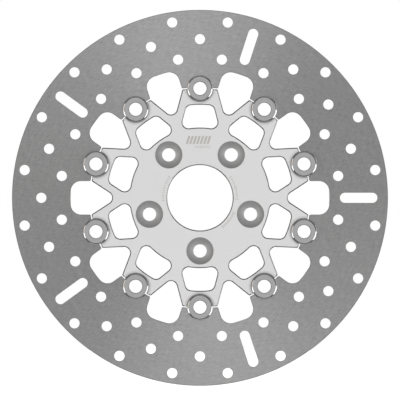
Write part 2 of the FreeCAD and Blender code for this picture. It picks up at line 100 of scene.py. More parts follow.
# %% The pen
def draw_arc(sheet, centre, radius, start, end, steps):
    """Spins one point round a centre, from a start angle to an end angle, and returns the arc's two ends."""
    pen = Vector(centre) + polar(radius, start)
    first = sheet.verts.new((pen * MM).to_3d())
    swept = bmesh.ops.spin(
        sheet, geom=[first], cent=(Vector(centre) * MM).to_3d(), axis=(0, 0, 1), dvec=(0, 0, 0),
        angle=math.radians(end - start), steps=steps, use_merge=False, use_duplicate=False,
    )
    return first, swept["geom_last"][0]


def draw_chain(sheet, *arcs):
    """Draws arcs one after another and joins each one's end to the next one's start."""
    ends = [draw_arc(sheet, *arc) for arc in arcs]
    for (_, last), (first, _) in zip(ends, ends[1:]):
        sheet.edges.new((last, first))


def draw_circle(sheet, centre, radius, steps):
    bmesh.ops.create_circle(
        sheet, cap_ends=False, radius=radius * MM, segments=steps,
        matrix=Matrix.Translation((Vector(centre) * MM).to_3d()),
    )


trial = bmesh.new()
draw_arc(trial, AXLE, 10, 0, 90, 6)
print("a quarter circle in six steps has", len(trial.edges), "edges")
trial.free()


# %% Repeat a drawing round the axle
def turn_on_sheet(sheet, points, angle):
    """Turns points about the drawing's origin by an angle in degrees."""
    turned_by = Matrix.Rotation(math.radians(angle), 3, "Z")
    bmesh.ops.rotate(sheet, verts=points, cent=(0, 0, 0), matrix=turned_by)


def mirror_half(sheet):
    """Adds a drawing's mirror image about its own X line and joins the two."""
    bmesh.ops.mirror(sheet, geom=sheet.verts[:] + sheet.edges[:], axis="Y", merge_dist=SAME_POINT)
    bmesh.ops.remove_doubles(sheet, verts=sheet.verts, dist=SAME_POINT)


def mirror_and_repeat(sheet, first_angle=0.0, count=PITCHES):
    """Mirrors half of a shape about its own X line, then copies the whole round the axle."""
    mirror_half(sheet)
    turn_on_sheet(sheet, sheet.verts, first_angle)
    step = math.radians(360 / count)
    bmesh.ops.spin(
        sheet, geom=sheet.verts[:] + sheet.edges[:], cent=(0, 0, 0), axis=(0, 0, 1), dvec=(0, 0, 0),
        angle=step * (count - 1), steps=count - 1, use_merge=False, use_duplicate=True,
    )
    bmesh.ops.remove_doubles(sheet, verts=sheet.verts, dist=SAME_POINT)


def add_drawing(sheet, other):
    """Lays one drawing on another."""
    mesh = bpy.data.meshes.new("drawing")
    other.to_mesh(mesh)
    other.free()
    sheet.from_mesh(mesh)
    bpy.data.meshes.remove(mesh)


# %% Give a drawing its thickness
WALL, FLAT = 0.1, 0.9


def thicken(sheet, low, high):
    """Extrudes every face of a sheet from one height to another."""
    bmesh.ops.translate(sheet, verts=sheet.verts, vec=(0, 0, low * MM))
    top = bmesh.ops.extrude_face_region(sheet, geom=sheet.faces[:])
    lifted = [item for item in top["geom"] if isinstance(item, bmesh.types.BMVert)]
    bmesh.ops.translate(sheet, verts=lifted, vec=(0, 0, (high - low) * MM))
    bmesh.ops.recalc_face_normals(sheet, faces=sheet.faces[:])


def raise_plate(sheet, low, high):
    """Fills a drawing between its outlines and gives it its thickness."""
    bmesh.ops.triangle_fill(
        sheet, use_beauty=True, use_dissolve=False, edges=sheet.edges[:], normal=(0, 0, 1)
    )
    thicken(sheet, low, high)


def rims(plate, level, wanted=lambda away: True):
    """The edges between a flat face and a wall at one height, where a test of the distance says yes."""
    found = []
    for edge in plate.edges:
        middle = (edge.verts[0].co + edge.verts[1].co) / 2
        if abs(middle.z - level * MM) > CLOSE_POINT or len(edge.link_faces) != 2:
            continue
        leans = sorted(abs(face.normal.z) for face in edge.link_faces)
        if leans[0] < WALL and leans[1] > FLAT and wanted(middle.xy.length / MM):
            found.append(edge)
    return found


def break_edges(plate, edges, width, segments):
    """Takes the sharp corner off edges: one segment is a chamfer, more are a rounding."""
    bmesh.ops.bevel(
        plate, geom=edges, offset=width * MM, offset_type="OFFSET", segments=segments, profile=0.5,
        affect="EDGES", clamp_overlap=False, loop_slide=False, material=-1,
    )


# %% Make an object of a finished form
CORNER_ANGLE = 32
SQUARE_TO_AXLE = 0.9999


def fill_mesh(mesh, form):
    """Writes an upright form to a mesh, with flat faces flat, curved ones smooth and corners sharp."""
    form.to_mesh(mesh)
    form.free()
    mesh.set_sharp_from_angle(angle=math.radians(CORNER_ANGLE))
    for face in mesh.polygons:
        face.use_smooth = abs(face.normal.y) < SQUARE_TO_AXLE


def make_object(form, name):
    """Stands a flat form up and makes it an object at the frame's origin."""
    bmesh.ops.rotate(form, verts=form.verts, cent=(0, 0, 0), matrix=UPRIGHT)
    mesh = bpy.data.meshes.new(name)
    fill_mesh(mesh, form)
    piece = bpy.data.objects.new(name, mesh)
    bpy.context.scene.collection.objects.link(piece)
    return piece


def bore(piece, cutter):
    """Cuts a piece with another mesh, keeps the result as a plain mesh and throws the cutter away."""
    cut = piece.modifiers.new("cut", "BOOLEAN")
    cut.object = cutter
    cut.solver = "EXACT"
    view = bpy.context.evaluated_depsgraph_get()
    result = bmesh.new()
    result.from_object(piece, view)
    piece.modifiers.clear()
    bpy.data.meshes.remove(cutter.data)
    bmesh.ops.remove_doubles(result, verts=result.verts, dist=CLOSE_POINT)
    bmesh.ops.dissolve_degenerate(result, dist=CLOSE_POINT, edges=result.edges[:])
    open_edges = [edge for edge in result.edges if len(edge.link_faces) != 2]
    print("after boring", piece.name, "has", len(result.faces), "faces and", len(open_edges), "open edges")
    fill_mesh(piece.data, result)


# %% [markdown]
# ## The ring's outline
#
# The friction ring is cut from plate steel. Its outside is a plain circle. Its inside is ten windows with
# round tops, and the metal left between two windows is a lug that reaches in to a drive button. Half of one
# window and half of one lug are enough to draw: the mirror and the spin make the rest, as an indexing table
# would.

# %% Draw half a window and half a lug
RING_RADIUS = min(cad_high.x, -cad_low.x) / MM
RING_BACK, RING_FRONT = 0.3, 6.3
LUG_RADIUS, LUG_CORNER = 86.05, 1.0
GAP_TOP, GAP_HALF, GAP_CORNER = 100.6, 13.0, 8.0

ring = bmesh.new()
corner_y = GAP_HALF - GAP_CORNER
corner_x = math.sqrt((GAP_TOP - GAP_CORNER) ** 2 - corner_y**2)
corner_lean = math.degrees(math.atan2(corner_y, corner_x))
tip_y = GAP_HALF + LUG_CORNER
tip_x = math.sqrt((LUG_RADIUS + LUG_CORNER) ** 2 - tip_y**2)
tip_lean = math.degrees(math.atan2(tip_y, tip_x))
draw_chain(
    ring,
    (AXLE, GAP_TOP, 0, corner_lean, 4),
    ((corner_x, corner_y), GAP_CORNER, corner_lean, 90, 14),
    ((tip_x, tip_y), LUG_CORNER, -90, tip_lean - 180, 6),
    (AXLE, LUG_RADIUS, tip_lean, PITCH / 2, 8),
)
mirror_and_repeat(ring)
print("inner outline of the ring:", len(ring.edges), "edges")

# %% [markdown]
# ## Drillings and slots
#
# The round holes let gas and water out from under the pads. They stand in three rows, in a pattern that
# repeats five times. The five long slots are wear marks as well as wipers. All of them are drawn on the
# same sheet, so the filled plate has them from the start and needs no cutting.

# %% Draw the outside, the holes and the slots
DRILL, DRILL_STEPS, RIM_STEPS = 4.0, 40, 360
OUTER_ROW, MIDDLE_ROW, INNER_ROW = 137.9, 123.3, 108.7
PLACES, SLOTS = 2 * PITCHES, 5
SLOT_LENGTH, SLOT_HALF = 29.2, 3.95

draw_circle(ring, AXLE, RING_RADIUS, RIM_STEPS)
for number in range(PLACES):
    for row in (OUTER_ROW, INNER_ROW):
        draw_circle(ring, polar(row, PITCH / 2 * (number + 0.5)), DRILL, DRILL_STEPS)
for number in range(PLACES):
    if number % (PLACES // SLOTS):
        draw_circle(ring, polar(MIDDLE_ROW, PITCH / 2 * number), DRILL, DRILL_STEPS)

slots = bmesh.new()
slot_end = MIDDLE_ROW + SLOT_LENGTH / 2 - SLOT_HALF
slot_start = MIDDLE_ROW - SLOT_LENGTH / 2 + SLOT_HALF
draw_chain(slots, ((slot_end, 0), SLOT_HALF, 0, 90, 10), ((slot_start, 0), SLOT_HALF, 90, 180, 10))
mirror_and_repeat(slots, count=SLOTS)
add_drawing(ring, slots)
print("ring drawing:", len(ring.edges), "edges")

# %% Raise the ring and break its edges
DRILLED_FROM, DRILLED_TO = 101.5, 145.0
OUTLINE_BREAK, HOLE_BREAK = 0.4, 0.15


def is_drilled(away):
    """True in the band that holds the drillings and slots."""
    return DRILLED_FROM < away < DRILLED_TO


raise_plate(ring, RING_BACK, RING_FRONT)
for level in (RING_BACK, RING_FRONT):
    break_edges(ring, rims(ring, level, lambda away: not is_drilled(away)), OUTLINE_BREAK, 2)
    break_edges(ring, rims(ring, level, is_drilled), HOLE_BREAK, 1)
friction_ring = make_object(ring, "ground_friction_ring")
print("friction ring:", len(friction_ring.data.polygons), "faces")

# %% [markdown]
# ## Half-holes for the drive buttons
#
# Each button sits half in the ring and half in the carrier. In the workshop the two are clamped together
# and drilled as one, so here too the same cutter goes through both: a Boolean with ten drill-sized rods. On
# the carrier the rod has a wide flat step at each end, which is the shallow spot face under the button's
# head.

# %% The drilling tools
BUTTON_CIRCLE, DRIVE_HOLE = 85.0, 7.25
TOOL_LOW, TOOL_HIGH = -2, 9
TURNING_STEPS = 96


def turned_form(outline):
    """Spins a closed outline, given as distances from its own axis and heights, into a round form."""
    form = bmesh.new()
    corners = [form.verts.new((across * MM, 0, up * MM)) for across, up in outline]
    runs = [form.edges.new(pair) for pair in zip(corners, corners[1:] + corners[:1])]
    bmesh.ops.spin(
        form, geom=corners + runs, cent=(0, 0, 0), axis=(0, 0, 1), dvec=(0, 0, 0),
        angle=math.tau, steps=TURNING_STEPS, use_merge=True, use_duplicate=False,
    )
    bmesh.ops.remove_doubles(form, verts=form.verts, dist=SAME_POINT)
    bmesh.ops.recalc_face_normals(form, faces=form.faces[:])
    return form


def solid_tools(outline, places):
    """A set of equal cutters, each turned from an outline that starts and ends on its own axis."""
    one = turned_form(outline)
    bmesh.ops.dissolve_degenerate(one, dist=SAME_POINT / 10, edges=one.edges[:])
    bmesh.ops.recalc_face_normals(one, faces=one.faces[:])
    tools = bmesh.new()
    for x, y in places:
        copy = one.copy()
        bmesh.ops.translate(copy, verts=copy.verts, vec=(x * MM, y * MM, 0))
        add_drawing(tools, copy)
    one.free()
    return tools


button_places = [polar(BUTTON_CIRCLE, angle) for angle in BUTTON_ANGLES]
rod = [(0, TOOL_LOW), (DRIVE_HOLE, TOOL_LOW), (DRIVE_HOLE, TOOL_HIGH), (0, TOOL_HIGH)]
bore(friction_ring, make_object(solid_tools(rod, button_places), "rods"))
print("ring with its half-holes:", len(friction_ring.data.polygons), "faces")

# %% [markdown]
# ## The carrier's outline
#
# The carrier bolts to the wheel hub. Between its ten arms are notches with a round root and two straight
# sides that open outwards. Inside each drive button is a window whose two ends follow the disc. Again half
# of each is drawn and the axle does the rest.

# %% Draw half a notch and half an arm
ARM_RADIUS, ARM_CORNER = 85.15, 1.0
NOTCH_CENTRE, NOTCH_ROOT, NOTCH_ANGLE = 73.0, 4.75, 33.1

carrier = bmesh.new()
along = polar(1, NOTCH_ANGLE)
away_from_notch = polar(1, NOTCH_ANGLE + 90)
line_start = Vector((NOTCH_CENTRE, 0)) + away_from_notch * (NOTCH_ROOT + ARM_CORNER)
reach = line_start.dot(along)
run = math.sqrt(reach**2 - line_start.length_squared + (ARM_RADIUS - ARM_CORNER) ** 2) - reach
corner = line_start + along * run
corner_angle = math.degrees(math.atan2(corner.y, corner.x))
draw_chain(
    carrier,
    ((NOTCH_CENTRE, 0), NOTCH_ROOT, 180, NOTCH_ANGLE + 90, 9),
    (corner, ARM_CORNER, NOTCH_ANGLE - 90, corner_angle, 6),
    (AXLE, ARM_RADIUS, corner_angle, PITCH / 2, 8),
)
mirror_and_repeat(carrier)
print("outer outline of the carrier:", len(carrier.edges), "edges")

# %% Draw half a window
WINDOW_IN, WINDOW_OUT = 54.6, 72.25
WINDOW_OFFSET, WINDOW_LEAN = 28.4, 14.9
CORNER_OUT, CORNER_IN = 4.7, 4.8
PILOT_BORE = 25.4


def window_corner(distance, radius):
    """The centre of a corner that touches the window's side and one of its two curved ends."""
    depth = WINDOW_OFFSET - radius
    across = polar(depth, 90 - WINDOW_LEAN)
    return across + polar(math.sqrt(distance**2 - depth**2), -WINDOW_LEAN)


outer = window_corner(WINDOW_OUT - CORNER_OUT, CORNER_OUT)
inner = window_corner(WINDOW_IN + CORNER_IN, CORNER_IN)
outer_angle = math.degrees(math.atan2(outer.y, outer.x))
inner_angle = math.degrees(math.atan2(inner.y, inner.x))
windows = bmesh.new()
draw_chain(
    windows,
    (AXLE, WINDOW_OUT, 0, outer_angle, 6),
    (outer, CORNER_OUT, outer_angle, 90 - WINDOW_LEAN, 10),
    (inner, CORNER_IN, 90 - WINDOW_LEAN, 180 + inner_angle, 10),
    (AXLE, WINDOW_IN, inner_angle, 0, 8),
)
mirror_and_repeat(windows, first_angle=PITCH / 2)
add_drawing(carrier, windows)
draw_circle(carrier, AXLE, PILOT_BORE, 160)
print("carrier drawing:", len(carrier.edges), "edges")

# %% Raise the carrier and chamfer its outboard edges
CARRIER_BACK, CARRIER_FRONT = 0.0, 6.6
FRONT_CHAMFER, BACK_BREAK = 0.8, 0.15

raise_plate(carrier, CARRIER_BACK, CARRIER_FRONT)
break_edges(carrier, rims(carrier, CARRIER_FRONT), FRONT_CHAMFER, 1)
break_edges(carrier, rims(carrier, CARRIER_BACK), BACK_BREAK, 1)
hub_carrier = make_object(carrier, "satin_carrier_plate")
print("carrier plate:", len(hub_carrier.data.polygons), "faces")

# %% Cut the button seats and the countersunk bolt holes
SPOT_RADIUS, SPOT_DEPTH = 12.0, 0.55
BOLTS, BOLT_CIRCLE, BOLT_HOLE, SINK_RADIUS = 5, 41.275, 5.15, 10.6
OVERSHOOT = 1

spot_back, spot_front = CARRIER_BACK + SPOT_DEPTH, CARRIER_FRONT - SPOT_DEPTH
seats = solid_tools(
    [
        (0, TOOL_LOW), (SPOT_RADIUS, TOOL_LOW), (SPOT_RADIUS, spot_back), (DRIVE_HOLE, spot_back),
        (DRIVE_HOLE, spot_front), (SPOT_RADIUS, spot_front), (SPOT_RADIUS, TOOL_HIGH), (0, TOOL_HIGH),
    ],
    button_places,
)

sink_depth = SINK_RADIUS - BOLT_HOLE
bolt_places = [polar(BOLT_CIRCLE, 360 / BOLTS * number - 90) for number in range(BOLTS)]
sinks = solid_tools(
    [
        (0, TOOL_LOW), (BOLT_HOLE, TOOL_LOW), (BOLT_HOLE, CARRIER_FRONT - sink_depth),
        (SINK_RADIUS + OVERSHOOT, CARRIER_FRONT + OVERSHOOT), (0, CARRIER_FRONT + OVERSHOOT),
    ],
    bolt_places,
)
add_drawing(sinks, seats)
bore(hub_carrier, make_object(sinks, "boring_tools"))
print("carrier with its seats and bolt holes:", len(hub_carrier.data.polygons), "faces")

# %% [markdown]
# ## Ten sets of button, washers and clip
#
# The small round pieces come off a lathe, so they are spun from an outline in the same way. One of each is
# made on its own axis, with its own +X pointing away from the axle, and copied to the ten places. A lathe
# leaves fine grooves round a piece's own centre line. A material can't know where that line is, so every
# point of a turned piece carries its distance from it as a value named turning_radius.


# %% Put copies in the ten places
def ten_copies(form, name):
    """Copies one form to each drive button's place and returns the ten objects."""
    layer = form.verts.layers.float.new("turning_radius")
    for point in form.verts:
        point[layer] = point.co.xy.length
    made = []
    for number, angle in enumerate(BUTTON_ANGLES, start=1):
        copy = form.copy()
        bmesh.ops.translate(copy, verts=copy.verts, vec=(BUTTON_CIRCLE * MM, 0, 0))
        turn_on_sheet(copy, copy.verts, angle)
        made.append(make_object(copy, f"{name}_{number:02d}"))
    form.free()
    return made


def sharp_loops(form, limit=25):
    """The round edges where a turned form changes direction by more than a limit in degrees."""
    return [edge for edge in form.edges if edge.calc_face_angle(0) > math.radians(limit)]


# %% Turn the drive buttons
BUTTON_BORE, SHANK, HEAD = 5.15, 7.0, 10.0
HEAD_SEAT, HEAD_TOP, TAIL = 6.32, 8.12, -4.2
BEVEL_WIDTH, BEVEL_HEIGHT = 1.1, 0.8
GROOVE_TOP, GROOVE_WIDTH, GROOVE_ROOT = -1.91, 1.1, 6.5
CHAMFER, BUTTON_BREAK = 0.4, 0.08
TURNED, POLISHED = 0, 1
LEAST_LEAN, MOST_LEAN = 0.6, 0.95

button = turned_form([
    (BUTTON_BORE + CHAMFER, TAIL), (SHANK - CHAMFER, TAIL), (SHANK, TAIL + CHAMFER),
    (SHANK, GROOVE_TOP - GROOVE_WIDTH), (GROOVE_ROOT, GROOVE_TOP - GROOVE_WIDTH),
    (GROOVE_ROOT, GROOVE_TOP), (SHANK, GROOVE_TOP), (SHANK, HEAD_SEAT), (HEAD, HEAD_SEAT),
    (HEAD, HEAD_TOP - BEVEL_HEIGHT), (HEAD - BEVEL_WIDTH, HEAD_TOP),
    (BUTTON_BORE + CHAMFER, HEAD_TOP), (BUTTON_BORE, HEAD_TOP - CHAMFER), (BUTTON_BORE, TAIL + CHAMFER),
])
break_edges(button, sharp_loops(button), BUTTON_BREAK, 2)
for face in button.faces:
    face.normal_update()
    leaning = LEAST_LEAN < face.normal.z < MOST_LEAN
    away = face.calc_center_median().xy.length
    face.material_index = POLISHED if leaning and away > (HEAD - BEVEL_WIDTH) * MM else TURNED
bevel_faces = sum(face.material_index == POLISHED for face in button.faces)
print("faces on one button:", len(button.faces), "- polished:", bevel_faces)
buttons = ten_copies(button, "drive_button")

# %% Turn the thrust washers
THRUST_IN, THRUST_OUT, THRUST_BACK, THRUST_FRONT, THRUST_BREAK = 7.2, 10.0, -0.72, 0.28, 0.12

thrust = turned_form([
    (THRUST_IN, THRUST_BACK), (THRUST_OUT, THRUST_BACK),
    (THRUST_OUT, THRUST_FRONT), (THRUST_IN, THRUST_FRONT),
])
break_edges(thrust, sharp_loops(thrust), THRUST_BREAK, 2)
thrust_washers = ten_copies(thrust, "flat_washer")

# %% Press the wave washers
WAVES, SWING, WAVE_TOP, WAVE_SHEET = 3, 0.4, -0.74, 0.4
WAVE_IN, WAVE_OUT, WAVE_BREAK = 7.25, 9.7, 0.06

wave = turned_form([(WAVE_IN, -WAVE_SHEET), (WAVE_OUT, -WAVE_SHEET), (WAVE_OUT, 0), (WAVE_IN, 0)])
break_edges(wave, sharp_loops(wave), WAVE_BREAK, 1)
for point in wave.verts:
    clock_angle = math.atan2(point.co.y, point.co.x)
    point.co.z += (WAVE_TOP - SWING + SWING * math.cos(WAVES * clock_angle)) * MM
wave_washers = ten_copies(wave, "sprung_washer")
print("a wave washer is", round(WAVE_SHEET + 2 * SWING, 2), "mm high as fitted")

# %% [markdown]
# ## The circlips
#
# A circlip is stamped from spring strip: an open ring, and at each end an ear with an eye for the pliers.
# It is drawn with the same pen, half at a time, and raised like the plates.

# %% Stamp the circlips
CLIP_IN, CLIP_OUT, CLIP_GAP = 6.55, 8.6, 1.4
EAR, EAR_CENTRE, EYE = 1.7, 8.3, 0.75
CLIP_TOP, CLIP_BACK, CLIP_BREAK = -1.96, -2.96, 0.1

ear = Vector((math.sqrt(EAR_CENTRE**2 - (CLIP_GAP + EAR) ** 2), CLIP_GAP + EAR))
ear_angle = math.degrees(math.atan2(ear.y, ear.x))
meeting_cosine = (CLIP_OUT**2 + EAR_CENTRE**2 - EAR**2) / (2 * CLIP_OUT * EAR_CENTRE)
meeting = math.degrees(math.acos(meeting_cosine))
join = polar(CLIP_OUT, ear_angle + meeting) - ear
clip = bmesh.new()
draw_chain(
    clip,
    (AXLE, CLIP_IN, 180, math.degrees(math.asin(CLIP_GAP / CLIP_IN)), 40),
    (ear, EAR, -90, math.degrees(math.atan2(join.y, join.x)), 16),
    (AXLE, CLIP_OUT, ear_angle + meeting, 180, 40),
)
bmesh.ops.remove_doubles(clip, verts=clip.verts, dist=CLOSE_POINT)
draw_circle(clip, ear, EYE, 20)
mirror_half(clip)
raise_plate(clip, CLIP_BACK, CLIP_TOP)
for level in (CLIP_BACK, CLIP_TOP):
    break_edges(clip, rims(clip, level), CLIP_BREAK, 2)
print("faces on one clip:", len(clip.faces))
circlips = ten_copies(clip, "retaining_clip")

# %% [markdown]
# ## Which tool made which face
#
# A plate's flat faces, its cut edges, its countersinks and the spot faces under the buttons are made by
# different tools and shine differently. One mesh can hold several finishes, one material slot for each. The
# faces are numbered by where they are and how they lean, which is quicker and safer than picking them by
# hand, and each number takes its own finish later.

# %% Number the faces
FACE, EDGE, SINK, SEAT = 0, 1, 2, 3
SINK_MARGIN, NEARLY_SQUARE = 0.4, 0.99


def number_faces(piece, sink_places=(), seat_levels=()):
    """Numbers a plate's flat faces, cut edges, countersinks and spot faces, and returns how many of each."""
    counts = [0, 0, 0, 0]
    for face in piece.data.polygons:
        spot = Vector((face.center.x, face.center.z)) / MM
        in_sink = any((spot - middle).length < SINK_RADIUS + SINK_MARGIN for middle in sink_places)
        on_seat = any(abs(face.center.y + level * MM) < CLOSE_POINT for level in seat_levels)
        if abs(face.normal.y) > NEARLY_SQUARE:
            face.material_index = SEAT if on_seat else FACE
        else:
            face.material_index = SINK if in_sink else EDGE
        counts[face.material_index] += 1
    return counts


print("ring: flat, edge, sink, seat", number_faces(friction_ring))
print("carrier: flat, edge, sink, seat", number_faces(hub_carrier, bolt_places, (spot_back, spot_front)))

# %% [markdown]
# ## Etched marks
#
# A real carrier has faint marks etched in its face. Here they are plain hatching and scale ticks that say
# nothing. Each mark is a plate two hundredths of a millimetre proud of the face, which is how a laser's
# roughened track catches light, and all of them make one piece.

# %% Etch the hatching and the ticks
HATCHES, HATCH_START, HATCH_STEP, HATCH_HEIGHT = 7, -9.3, 2.7, 44.9
HATCH_LENGTH, HATCH_WIDTH, HATCH_LEAN = 6.2, 1.5, 18
TICKS, TICK_START, TICK_STEP, TICK_HEIGHT = 9, -3.6, 1.4, 39.6
TICK_LENGTH, TICK_WIDTH = 1.6, 0.5
SCALE_ARCS = ((146, 184), (-2, 34), (-52, -24))
SCALE_RADIUS, SCALE_TICKS, LONG_TICK_EVERY = 28.7, 11, 5
LONG_TICK, SHORT_TICK, SCALE_WIDTH = 2.2, 1.5, 0.6
MARK_PROUD, MARK_SUNK = 0.02, 0.01


def etch_bar(sheet, middle, turn, length, width, lean=0.0):
    """One upright bar, turned about its middle and leaned like a hatching stroke."""
    grown = bmesh.ops.create_grid(sheet, x_segments=1, y_segments=1, size=0.5)
    points = grown["verts"]
    bmesh.ops.scale(sheet, verts=points, vec=(width * MM, length * MM, 1))
    for point in points:
        point.co.x += point.co.y * math.tan(math.radians(lean))
    turn_on_sheet(sheet, points, turn)
    bmesh.ops.translate(sheet, verts=points, vec=(Vector(middle) * MM).to_3d())


marks = bmesh.new()
for number in range(HATCHES):
    middle = (HATCH_START + HATCH_STEP * number, HATCH_HEIGHT)
    etch_bar(marks, middle, 0, HATCH_LENGTH, HATCH_WIDTH, lean=HATCH_LEAN)
for number in range(TICKS):
    etch_bar(marks, (TICK_START + TICK_STEP * number, TICK_HEIGHT), 0, TICK_LENGTH, TICK_WIDTH)
for first, last in SCALE_ARCS:
    for number in range(SCALE_TICKS):
        angle = first + (last - first) * number / (SCALE_TICKS - 1)
        tick = SHORT_TICK if number % LONG_TICK_EVERY else LONG_TICK
        etch_bar(marks, polar(SCALE_RADIUS, angle), angle - 90, tick, SCALE_WIDTH)
thicken(marks, CARRIER_FRONT - MARK_SUNK, CARRIER_FRONT + MARK_PROUD)
etched_marks = make_object(marks, "etched_marks")
print("etched bars:", len(etched_marks.data.polygons) // 6)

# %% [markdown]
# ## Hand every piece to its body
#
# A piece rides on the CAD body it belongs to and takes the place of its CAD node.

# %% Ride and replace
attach(friction_ring, "friction_ring")
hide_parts("friction_ring")
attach(hub_carrier, "carrier")
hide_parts("carrier")
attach(etched_marks, "carrier")
families = [
    (buttons, "bobbin", "button_steel"),
    (thrust_washers, "thrust_washer", "washer_steel"),
    (wave_washers, "wave_washer", "spring_steel"),
    (circlips, "circlip", "clip_steel"),
]
for pieces, node, slot in families:
    spins = node in ("bobbin", "circlip")
    for number, piece in enumerate(pieces, start=1):
        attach(piece, f"button_{number:02d}" if spins else "washers")
        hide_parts(f"{node}_{number:02d}")
print("pieces handed over:", 3 + sum(len(pieces) for pieces, _, _ in families))

# %% [markdown]
# ## Shared effects
#
# Grinding, turning and a slightly cloudy tone appear on more than one finish, so each is a node group with
# named sockets, built once. A group puts out only a mask or a colour that changes over the surface. The
# shader itself stays in each material.

# %% Helpers for node trees
FLOAT, COLOUR = "NodeSocketFloat", "NodeSocketColor"


def new_group(name, inputs, outputs):
    """A node group with named sockets; inputs are (name, socket type, default)."""
    tree = bpy.data.node_groups.new(name, "ShaderNodeTree")
    for label, kind, default in inputs:
        tree.interface.new_socket(label, in_out="INPUT", socket_type=kind).default_value = default
    for label, kind in outputs:
        tree.interface.new_socket(label, in_out="OUTPUT", socket_type=kind)
    return tree, tree.nodes.new("NodeGroupInput"), tree.nodes.new("NodeGroupOutput")


def fill_socket(tree, socket, value):
    """Links an input socket to another node's output, or sets it to a constant."""
    if isinstance(value, bpy.types.NodeSocket):
        tree.links.new(value, socket)
    else:
        socket.default_value = value


def place(tree, kind, values=None, **settings):
    """Adds a node, sets its properties, and fills its input sockets from values or links."""
    node = tree.nodes.new(kind)
    for label, value in settings.items():
        setattr(node, label, value)
    for label, value in (values or {}).items():
        fill_socket(tree, node.inputs[label], value)
    return node


def calculate(tree, operation, *terms):
    """One Math node's result."""
    return place(tree, "ShaderNodeMath", dict(enumerate(terms)), operation=operation).outputs[0]


def around(tree, mask, middle, swing):
    """Turns a mask that centres on a half into a value that swings about a middle."""
    return calculate(tree, "MULTIPLY_ADD", calculate(tree, "SUBTRACT", mask, 0.5), swing, middle)


def scaled(tree, vector, gain):
    """A vector or a colour times a number."""
    return place(tree, "ShaderNodeVectorMath", {0: vector, "Scale": gain}, operation="SCALE").outputs[0]


def length(tree, vector):
    return place(tree, "ShaderNodeVectorMath", {0: vector}, operation="LENGTH").outputs["Value"]


# %% Where a shaded point is, and noise there
def object_point(tree):
    """The shaded point in the piece's own coordinates, in metres."""
    return place(tree, "ShaderNodeTexCoord").outputs["Object"]


def off_axle(tree):
    """The shaded point's coordinates, and the vector to it straight out from the axle."""
    parts = place(tree, "ShaderNodeSeparateXYZ", {"Vector": object_point(tree)}).outputs
    return parts, place(tree, "ShaderNodeCombineXYZ", {"X": parts["X"], "Z": parts["Z"]}).outputs[0]


def noise_at(tree, vector, scale=1.0, detail=2.0):
    """Noise from 0 to 1 at a point."""
    values = {"Vector": vector, "Scale": scale, "Detail": detail}
    return place(tree, "ShaderNodeTexNoise", values).outputs["Fac"]


def ringed_noise(tree, slow, rings, detail=2.0):
    """Noise that changes from each ring to the next, and slowly along a ring."""
    shift = place(tree, "ShaderNodeCombineXYZ", {"Y": rings}).outputs[0]
    track = place(tree, "ShaderNodeVectorMath", {0: slow, 1: shift}, operation="ADD").outputs[0]
    return noise_at(tree, track, detail=detail)


def streaks(tree, across, through):
    """Marks drawn out in one direction, from their counts per metre across the disc and through it."""
    values = {"Vector": object_point(tree), "Scale": (across, through, across)}
    return noise_at(tree, place(tree, "ShaderNodeMapping", values, vector_type="POINT").outputs[0])


def graded(tree, measure, start, end, first, last):
    """Goes from a first value to a last one while a measure goes from its start to its end in millimetres."""
    return place(tree, "ShaderNodeMapRange", {
        "Value": measure, "From Min": start * MM, "From Max": end * MM, "To Min": first, "To Max": last,
    }).outputs[0]


# %% Straight strokes
straight_strokes, given, result = new_group(
    "straight_strokes",
    [("Stroke Width", FLOAT, 0.0004), ("Stroke Length", FLOAT, 0.012), ("Turn", FLOAT, 0.0)],
    [("Strokes", FLOAT)],
)
turn = place(straight_strokes, "ShaderNodeCombineXYZ", {"Y": given.outputs["Turn"]}).outputs[0]
grid = place(
    straight_strokes, "ShaderNodeCombineXYZ",
    {"X": given.outputs["Stroke Length"], "Y": 1.0, "Z": given.outputs["Stroke Width"]},
).outputs[0]
laid = place(
    straight_strokes, "ShaderNodeMapping",
    {"Vector": object_point(straight_strokes), "Rotation": turn, "Scale": grid}, vector_type="TEXTURE",
).outputs[0]
straight_strokes.links.new(noise_at(straight_strokes, laid), result.inputs["Strokes"])
print("group:", straight_strokes.name)

# %% Strokes that run round the axle
TRUE_LENGTH_RADIUS = 120.0

round_strokes, given, result = new_group(
    "round_strokes",
    [("Stroke Width", FLOAT, 0.0004), ("Stroke Length", FLOAT, 0.02)],
    [("Strokes", FLOAT)],
)
_, outwards = off_axle(round_strokes)
heading = place(round_strokes, "ShaderNodeVectorMath", {0: outwards}, operation="NORMALIZE").outputs[0]
turns = calculate(round_strokes, "DIVIDE", TRUE_LENGTH_RADIUS * MM, given.outputs["Stroke Length"])
rings = calculate(round_strokes, "DIVIDE", length(round_strokes, outwards), given.outputs["Stroke Width"])
strokes = ringed_noise(round_strokes, scaled(round_strokes, heading, turns), rings)
round_strokes.links.new(strokes, result.inputs["Strokes"])
print("group:", round_strokes.name)

# %% Grooves left by a lathe tool
PATCHES_PER_METRE = 60.0

turned_grooves, given, result = new_group(
    "turned_grooves", [("Groove Width", FLOAT, 0.00025)], [("Grooves", FLOAT)]
)
away = place(turned_grooves, "ShaderNodeAttribute", attribute_name="turning_radius").outputs["Fac"]
at = object_point(turned_grooves)
height = place(turned_grooves, "ShaderNodeSeparateXYZ", {"Vector": at}).outputs["Y"]
reach = calculate(turned_grooves, "SUBTRACT", away, height)
rings = calculate(turned_grooves, "DIVIDE", reach, given.outputs["Groove Width"])
grooves = ringed_noise(turned_grooves, scaled(turned_grooves, at, PATCHES_PER_METRE), rings, detail=1.0)
turned_grooves.links.new(grooves, result.inputs["Grooves"])
print("group:", turned_grooves.name)

